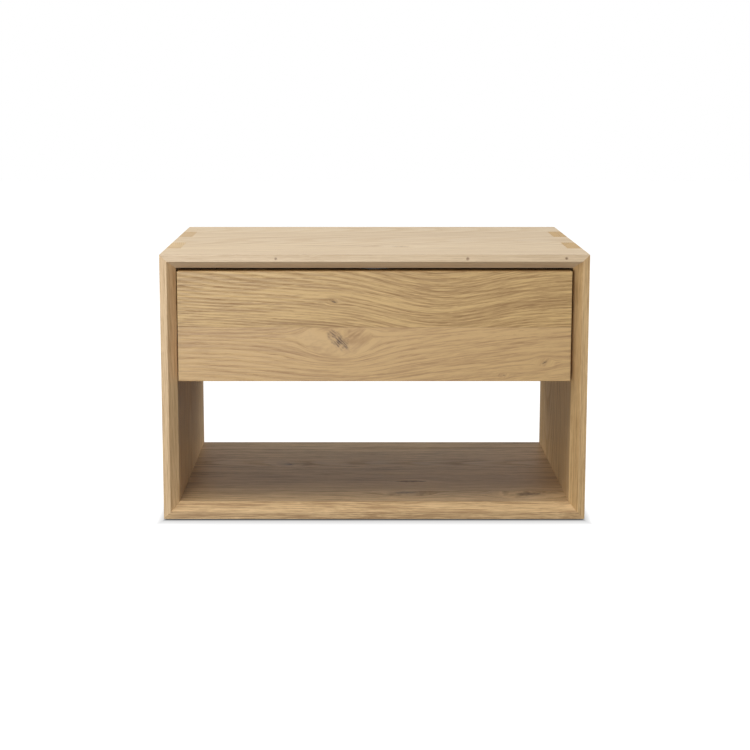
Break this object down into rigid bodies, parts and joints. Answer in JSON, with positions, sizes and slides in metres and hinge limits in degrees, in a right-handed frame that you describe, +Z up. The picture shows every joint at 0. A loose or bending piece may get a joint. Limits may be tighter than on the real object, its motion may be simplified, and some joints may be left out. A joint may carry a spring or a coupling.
{
  "type": "nightstand",
  "caption": "Low oak bedside case with finger-jointed corners, a push-to-open drawer on ball-bearing slides and an open shelf.",
  "frame": {"origin": "middle of the footprint, on the floor", "axes": "+X to the right as seen from the front, along the width; the drawer opens towards -Y; +Z up"},
  "size_m": [0.55, 0.35, 0.35],
  "materials": {
    "oak": "natural oak, matt oil, visible grain and small knots",
    "drawer_box_wood": "lighter oak, sanded",
    "plywood": "thin plywood",
    "beech": "fluted dowel, raw",
    "slide_zinc": "zinc-plated cold-rolled sheet",
    "screw_zinc": "zinc-plated",
    "ball_cage": "dark thin steel with bright balls",
    "spring_steel": "drawn wire",
    "grey_plastic": "moulded, matt",
    "black_plastic": "moulded, matt",
    "magnet": "dark, satin",
    "felt": "pressed felt"
  },
  "bodies": {
    "case": {"back_left_floor_pad": "felt", "back_panel": "oak", "back_panel_lower_left_dowel": "beech", "back_panel_lower_right_dowel": "beech", "back_panel_upper_left_dowel": "beech", "back_panel_upper_right_dowel": "beech", "back_right_floor_pad": "felt", "bottom_panel": "oak", "front_left_floor_pad": "felt", "front_right_floor_pad": "felt", "left_outer_rail": "slide_zinc", "left_outer_rail_back_screw": "screw_zinc", "left_outer_rail_front_screw": "screw_zinc", "left_rail_end_stop": "grey_plastic", "left_side_panel": "oak", "push_latch_housing": "grey_plastic", "push_latch_left_screw": "screw_zinc", "push_latch_right_screw": "screw_zinc", "push_latch_spring": "spring_steel", "right_outer_rail": "slide_zinc", "right_outer_rail_back_screw": "screw_zinc", "right_outer_rail_front_screw": "screw_zinc", "right_rail_end_stop": "grey_plastic", "right_side_panel": "oak", "top_panel": "oak"},
    "latch_plunger": {"push_latch_plunger": "grey_plastic", "push_latch_magnet": "magnet"},
    "drawer": {"drawer_bottom_left_screw": "screw_zinc", "drawer_bottom_middle_screw": "screw_zinc", "drawer_bottom_panel": "plywood", "drawer_bottom_right_screw": "screw_zinc", "drawer_box_back": "drawer_box_wood", "drawer_box_front": "drawer_box_wood", "drawer_front": "oak", "drawer_front_lower_left_screw": "screw_zinc", "drawer_front_lower_right_screw": "screw_zinc", "drawer_front_upper_left_screw": "screw_zinc", "drawer_front_upper_right_screw": "screw_zinc", "drawer_left_side": "drawer_box_wood", "drawer_right_side": "drawer_box_wood", "left_inner_rail": "slide_zinc", "left_inner_rail_back_screw": "screw_zinc", "left_inner_rail_front_screw": "screw_zinc", "left_release_lever_rivet": "screw_zinc", "right_inner_rail": "slide_zinc", "right_inner_rail_back_screw": "screw_zinc", "right_inner_rail_front_screw": "screw_zinc", "right_release_lever_rivet": "screw_zinc", "strike_plate": "screw_zinc", "strike_plate_left_screw": "screw_zinc", "strike_plate_right_screw": "screw_zinc"},
    "left_intermediate_rail": {"left_intermediate_rail": "slide_zinc"},
    "left_outer_cage": {"left_outer_cage": "ball_cage"},
    "left_inner_cage": {"left_inner_cage": "ball_cage"},
    "left_release_lever": {"left_release_lever": "black_plastic"},
    "right_intermediate_rail": {"right_intermediate_rail": "slide_zinc"},
    "right_outer_cage": {"right_outer_cage": "ball_cage"},
    "right_inner_cage": {"right_inner_cage": "ball_cage"},
    "right_release_lever": {"right_release_lever": "black_plastic"}
  },
  "joints": [
    {"name": "latch_press", "type": "slide", "parent": "case", "child": "latch_plunger", "axis": [0, -1, 0], "range_m": [-0.003, 0.02], "deforming": ["push_latch_spring"]},
    {"name": "drawer_slide", "type": "slide", "parent": "latch_plunger", "child": "drawer", "axis": [0, -1, 0], "range_m": [0, 0.23]},
    {"name": "left_intermediate_rail_slide", "type": "slide", "parent": "case", "child": "left_intermediate_rail", "axis": [0, -1, 0], "range_m": [0, 0.115]},
    {"name": "left_outer_cage_slide", "type": "slide", "parent": "case", "child": "left_outer_cage", "axis": [0, -1, 0], "range_m": [0, 0.0575]},
    {"name": "left_inner_cage_slide", "type": "slide", "parent": "case", "child": "left_inner_cage", "axis": [0, -1, 0], "range_m": [0, 0.1725]},
    {"name": "left_lever_pivot", "type": "hinge", "parent": "drawer", "child": "left_release_lever", "pos_m": [-0.2456, -0.055, 0.24], "axis": [1, 0, 0], "range_deg": [-6, 6]},
    {"name": "right_intermediate_rail_slide", "type": "slide", "parent": "case", "child": "right_intermediate_rail", "axis": [0, -1, 0], "range_m": [0, 0.115]},
    {"name": "right_outer_cage_slide", "type": "slide", "parent": "case", "child": "right_outer_cage", "axis": [0, -1, 0], "range_m": [0, 0.0575]},
    {"name": "right_inner_cage_slide", "type": "slide", "parent": "case", "child": "right_inner_cage", "axis": [0, -1, 0], "range_m": [0, 0.1725]},
    {"name": "right_lever_pivot", "type": "hinge", "parent": "drawer", "child": "right_release_lever", "pos_m": [0.2456, -0.055, 0.24], "axis": [1, 0, 0], "range_deg": [-6, 6]}
  ],
  "couplings": [
    {"joint": "left_intermediate_rail_slide", "follows": "drawer_slide", "ratio": 0.5},
    {"joint": "left_outer_cage_slide", "follows": "drawer_slide", "ratio": 0.25},
    {"joint": "left_inner_cage_slide", "follows": "drawer_slide", "ratio": 0.75},
    {"joint": "right_intermediate_rail_slide", "follows": "drawer_slide", "ratio": 0.5},
    {"joint": "right_outer_cage_slide", "follows": "drawer_slide", "ratio": 0.25},
    {"joint": "right_inner_cage_slide", "follows": "drawer_slide", "ratio": 0.75}
  ]
}
